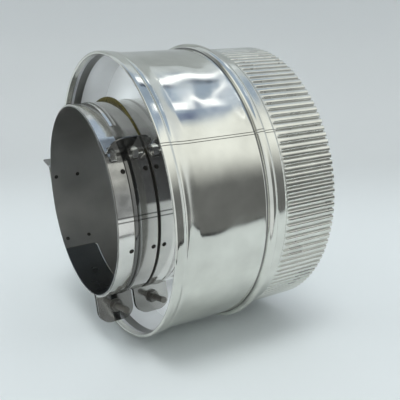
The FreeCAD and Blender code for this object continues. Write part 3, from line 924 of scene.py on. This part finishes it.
rope_fibre, hole_shade = rope_material(), hole_shade_material()
print("materials", sorted(material.name for material in bpy.data.materials))

# %% [markdown]
# ## Painting the pieces
#
# A sheet that has several finishes holds a number on each face, which picks one of its materials.
# The CAD model's pieces have one finish each, chosen by the words in their names.

# %% Painting
def paint(thing, *materials):
    """Gives a piece its materials, in the order of the numbers that its faces hold."""
    numbers = np.empty(len(thing.data.polygons), np.int32)
    thing.data.polygons.foreach_get("material_index", numbers)
    thing.data.materials.clear()
    for material in materials:
        thing.data.materials.append(material)
    if len(materials) > 1:
        thing.data.polygons.foreach_set("material_index", numbers)


paint(shell, shell_steel, inner_steel, seam_shade_steel, fold_shade_steel)
paint(flutes, shell_steel, inner_steel, valley_shade_steel)
paint(rope, rope_fibre)
paint(shade_discs, hole_shade)
paint(plugs, tube_steel)
paint(edge, shell_steel)
# A node takes the first material whose words are in its name.
NODE_FINISHES = (("_band_", band_steel), ("closing_bolt", bolt_steel), ("closing", nut_steel),
                 ("rope_seal", rope_fibre), ("outer_shell", shell_steel), ("slit_cover", cover_steel),
                 ("", tube_steel))
for name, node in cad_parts.items():
    paint(node, next(finish for words, finish in NODE_FINISHES if words in name))
print("painted", len(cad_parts), "nodes")

# %% [markdown]
# ## The table
#
# The part rests on its bead and its rim, so the table is the plane that touches both. It is a pale
# sheet that sweeps up behind the part without a corner, and it darkens towards the back as light
# falls off. Its front edge is a dark strip of painted shade. Its underside is see-through, so that
# the part can be looked at from below.

# %% Table, in metres
DOWN_AZIMUTH = math.atan2(-STUDIO_UP[1], -STUDIO_UP[0])
BEAD_CREST = (SHELL_RADIUS + BEAD_RISE) * MM
table_point = np.array([BEAD_CREST * math.cos(DOWN_AZIMUTH), BEAD_CREST * math.sin(DOWN_AZIMUTH),
                        BEAD_MIDDLE * MM])
TABLE_FRONT, TABLE_BACK, TABLE_SIDE = 0.27, 0.55, 1.5
SWEEP_RADIUS, SWEEP_STEPS = 0.45, 24
WALL_TOP = 1.3


def table_surface():
    """The sheet under and behind the part: flat, then a quarter circle, then upright.

    Its section is a row of (behind, above) points, and its width is the other direction.
    """
    turns = np.linspace(0, math.pi / 2, SWEEP_STEPS)
    behind = np.concatenate([[-TABLE_FRONT, 0.0], TABLE_BACK + SWEEP_RADIUS * np.sin(turns),
                             [TABLE_BACK + SWEEP_RADIUS]])
    above = np.concatenate([[0.0, 0.0], SWEEP_RADIUS * (1 - np.cos(turns)), [WALL_TOP]])
    across = np.array([-TABLE_SIDE, TABLE_SIDE])[None, :, None] * STUDIO_RIGHT
    points = (table_point - behind[:, None, None] * STUDIO_FRONT
              + above[:, None, None] * STUDIO_UP + across)
    table = add_mesh("table", points, grid_faces(len(behind), 2, False, False))
    if np.dot(table.data.polygons[0].normal, STUDIO_UP) < 0:
        table.data.flip_normals()
    return table


table = table_surface()
print("down points to", round(math.degrees(DOWN_AZIMUTH), 1), "degrees round the axis")

# %% Table material
FADE_START, FADE_END = 0.12, 0.66
TABLE_NEAR, TABLE_FAR = (0.760, 0.812, 0.826), (0.600, 0.632, 0.640)
EDGE_WIDTH, EDGE_SOFT, TABLE_EDGE_SHADE = 0.022, 0.001, (0.03, 0.03, 0.03)


def table_material():
    """A matt sheet whose colour follows the depth behind table_point, clear from below."""
    material, tree = new_material("white table")
    place, _ = object_place(tree)
    depth = share_along(tree, place, -STUDIO_FRONT)
    start = -float(np.dot(table_point, STUDIO_FRONT))
    fade = ramp(tree, depth, start + FADE_START, start + FADE_END, way="SMOOTHSTEP")
    # The front edge's dark strip is painted shade.
    strip = start - TABLE_FRONT + EDGE_WIDTH
    colour = blend(tree, ramp(tree, depth, strip, strip - EDGE_SOFT),
                   blend(tree, fade, TABLE_NEAR, TABLE_FAR), TABLE_EDGE_SHADE)
    matt = fill(tree, tree.nodes.new("ShaderNodeBsdfDiffuse"), {"Color": colour})
    clear = tree.nodes.new("ShaderNodeBsdfTransparent")
    back = tree.nodes.new("ShaderNodeNewGeometry").outputs["Backfacing"]
    mix = fill(tree, tree.nodes.new("ShaderNodeMixShader"),
               {"Fac": back, 1: matt.outputs["BSDF"], 2: clear.outputs["BSDF"]})
    fill(tree, tree.nodes.new("ShaderNodeOutputMaterial"), {"Surface": mix.outputs["Shader"]})
    return material


paint(table, table_material())
print("table nodes", len(table.data.materials[0].node_tree.nodes))

# %% [markdown]
# ## The room
#
# A mirror shows the room, so the room is designed like one of the pieces. Lit panels could stand
# round the part, but each would need a place and would shadow the others. Here the world's colour is
# worked out from the direction of the ray instead. It is pale all round, with a dark gap on each
# side of the camera, a lit wall high up on the camera's side and a blue-grey ceiling. Thin bright
# and dark streaks give the highlight on the barrel its shape. Only matt surfaces see the soft box
# that lights the scene, and the camera sees a plain grey beyond the table.

# %% Room values
PALE_SIDE, BACK_LIGHT = (0.78, 0.82, 0.84), (0.66, 0.72, 0.76)
SIDE_START, SIDE_END = -0.40, -0.20
# Each dark gap has the azimuths of its two ends and their softness, in degrees.
DARK_ROOM, DARK_GAPS = (0.170, 0.176, 0.176), ((46, 76, 2.5), (-112, -48, 8))
LIT_WALL, LIT_FOOT, LIT_TOP, LIT_BACK, LIT_FRONT = (1.05, 1.08, 1.04), 0.16, 0.58, -0.15, 0.10
CEILING, CEILING_START, CEILING_END = (0.40, 0.50, 0.64), 0.78, 0.84
LOW_LIGHT, SOFT_BOX = (0.62, 0.63, 0.64), (8.9, 9.1, 9.1)
BOX_AZIMUTH, BOX_ELEVATION, BOX_INNER, BOX_OUTER = -8, 75, 8.0, 15.0
PLAIN = (0.62, 0.67, 0.69)
LAMP, DIM, BLUE = (2.3, 2.35, 2.4), (0.04, 0.05, 0.08), (0.22, 0.27, 0.42)
STREAKS = (
    # (share along +Z, degrees round +Z) of two ends, half width in degrees, colour
    ((-0.400, 2.0), (-0.500, 0.5), 1.6, DIM),
    ((-0.523, -9.0), (-0.488, -33.0), 3.5, BLUE),
    ((-0.490, -33.0), (-0.440, -33.0), 2.5, BLUE),
    ((-0.400, 8.5), (-0.498, 7.0), 3.0, LAMP),
    ((-0.523, 2.0), (-0.488, -22.5), 3.4, LAMP),
    ((-0.490, -22.5), (-0.446, -22.5), 3.6, LAMP),
    ((-0.519, 3.0), (-0.566, -40.0), 2.0, LAMP),
    ((-0.536, 16.0), (-0.524, 11.0), 2.0, LAMP),
)
STREAK_SOFT, STREAK_END_SOFT = 1.0, 0.004


def studio_direction(azimuth, elevation):
    """A direction given in degrees: azimuth 0 is to the front and 90 to the right."""
    a, e = math.radians(azimuth), math.radians(elevation)
    flat = math.cos(a) * STUDIO_FRONT + math.sin(a) * STUDIO_RIGHT
    return math.cos(e) * flat + math.sin(e) * STUDIO_UP


print("the soft box is towards", studio_direction(BOX_AZIMUTH, BOX_ELEVATION).round(2))

# %% Room shapes
def smooth(tree, value, low, high):
    """A step from 0 at low to 1 at high without corners."""
    return ramp(tree, value, low, high, way="SMOOTHSTEP")


def patch(tree, direction, azimuth, elevation, inner, outer):
    """1 within inner degrees of a direction, falling to 0 at outer degrees."""
    return smooth(tree, share_along(tree, direction, studio_direction(azimuth, elevation)),
                  math.cos(math.radians(outer)), math.cos(math.radians(inner)))


def span(tree, value, low, high, soft):
    """1 between two angles in degrees, with soft ends."""
    low, high, soft = math.radians(low), math.radians(high), math.radians(soft)
    return times(tree, smooth(tree, value, low - soft, low + soft),
                 smooth(tree, value, high + soft, high - soft))


def streak(tree, lengthwise, round_axis, first, second, half):
    """1 near the line between two points (share along +Z, degrees round +Z), half wide.

    The line leans by so many radians for each share along +Z. That lean is taken off the angle,
    so the streak is a span of one angle between its two ends.
    """
    slant = math.radians(second[1] - first[1]) / (second[0] - first[0])
    leaned = calculate(tree, "MULTIPLY_ADD", lengthwise, -slant, round_axis)
    middle = math.degrees(math.radians(first[1]) - slant * first[0])
    low, high = min(first[0], second[0]), max(first[0], second[0])
    ends = times(tree, smooth(tree, lengthwise, low - STREAK_END_SOFT, low),
                 smooth(tree, lengthwise, high + STREAK_END_SOFT, high))
    return times(tree, ends, span(tree, leaned, middle - half, middle + half, STREAK_SOFT))


print("streaks", len(STREAKS))

# %% Room
def room():
    """The world's light by direction: each line lays one more shape over the colours before it."""
    world = bpy.data.worlds.new("studio room")
    world.use_nodes = True
    tree = world.node_tree
    tree.nodes.clear()
    direction = tree.nodes.new("ShaderNodeTexCoord").outputs["Generated"]
    x, y, lengthwise, height, front, right = (
        share_along(tree, direction, axis)
        for axis in ((1, 0, 0), (0, 1, 0), (0, 0, 1), STUDIO_UP, STUDIO_FRONT, STUDIO_RIGHT))
    round_axis = calculate(tree, "ARCTAN2", y, x)
    azimuth = calculate(tree, "ARCTAN2", right, front)
    colour = blend(tree, smooth(tree, front, SIDE_START, SIDE_END), BACK_LIGHT, PALE_SIDE)
    for low, high, soft in DARK_GAPS:
        colour = blend(tree, span(tree, azimuth, low, high, soft), colour, DARK_ROOM)
    lit = times(tree, smooth(tree, height, LIT_FOOT, LIT_TOP), smooth(tree, front, LIT_BACK, LIT_FRONT))
    colour = blend(tree, lit, colour, LIT_WALL)
    colour = blend(tree, smooth(tree, height, CEILING_START, CEILING_END), colour, CEILING)
    for first, second, half, shade in STREAKS:
        share = streak(tree, lengthwise, round_axis, first, second, half)
        colour = blend(tree, share, colour, shade)
    box = patch(tree, direction, BOX_AZIMUTH, BOX_ELEVATION, BOX_INNER, BOX_OUTER)
    path = tree.nodes.new("ShaderNodeLightPath")
    colour = blend(tree, path.outputs["Is Diffuse Ray"], colour, blend(tree, box, LOW_LIGHT, SOFT_BOX))
    colour = blend(tree, path.outputs["Is Camera Ray"], colour, PLAIN)
    background = fill(tree, tree.nodes.new("ShaderNodeBackground"), {"Color": colour})
    fill(tree, tree.nodes.new("ShaderNodeOutputWorld"), {"Surface": background.outputs["Background"]})
    return world


bpy.context.scene.world = room()
print("room nodes", len(bpy.context.scene.world.node_tree.nodes))

# %% [markdown]
# ## The ring gap's light
#
# Little light finds its way into the ring gap, but on the real part its walls are pale, because
# mirrors pass light on many times. The renderer stops after a few bounces, so small lamps deep in
# the gap stand for the light that goes round it. They don't show in any mirror.

# %% Gap lamps
GAP_LAMPS = np.array([
    # degrees round the axis, watts
    [165.0, 0.006], [-170.0, 0.011], [-150.0, 0.013], [-130.0, 0.016], [-112.0, 0.020],
    [-99.0, 0.012],
    [0.0, 0.004], [20.0, 0.007], [40.0, 0.007], [60.0, 0.006], [80.0, 0.006], [100.0, 0.006],
    [120.0, 0.006]])
GAP_LAMP_COLOUR = (0.92, 1.0, 1.0)
GAP_LAMP_SIZE = 0.008
LAMP_PLACE, LAMP_HEIGHT = 93.5, 78.0


def gap_lamp(name, degrees, power):
    """A point lamp between the walls that neither the camera nor a mirror sees."""
    data = bpy.data.lights.new(name, "POINT")
    data.energy = power
    data.color = GAP_LAMP_COLOUR
    data.shadow_soft_size = GAP_LAMP_SIZE
    lamp = bpy.data.objects.new(name, data)
    lamp.location = upright(LAMP_PLACE, math.radians(degrees), LAMP_HEIGHT)
    lamp.visible_glossy = False
    lamp.visible_camera = False
    bpy.context.scene.collection.objects.link(lamp)


for number, (degrees, power) in enumerate(GAP_LAMPS):
    gap_lamp("gap_lamp_%d" % number, degrees, power)
print("gap lamps", len(GAP_LAMPS))
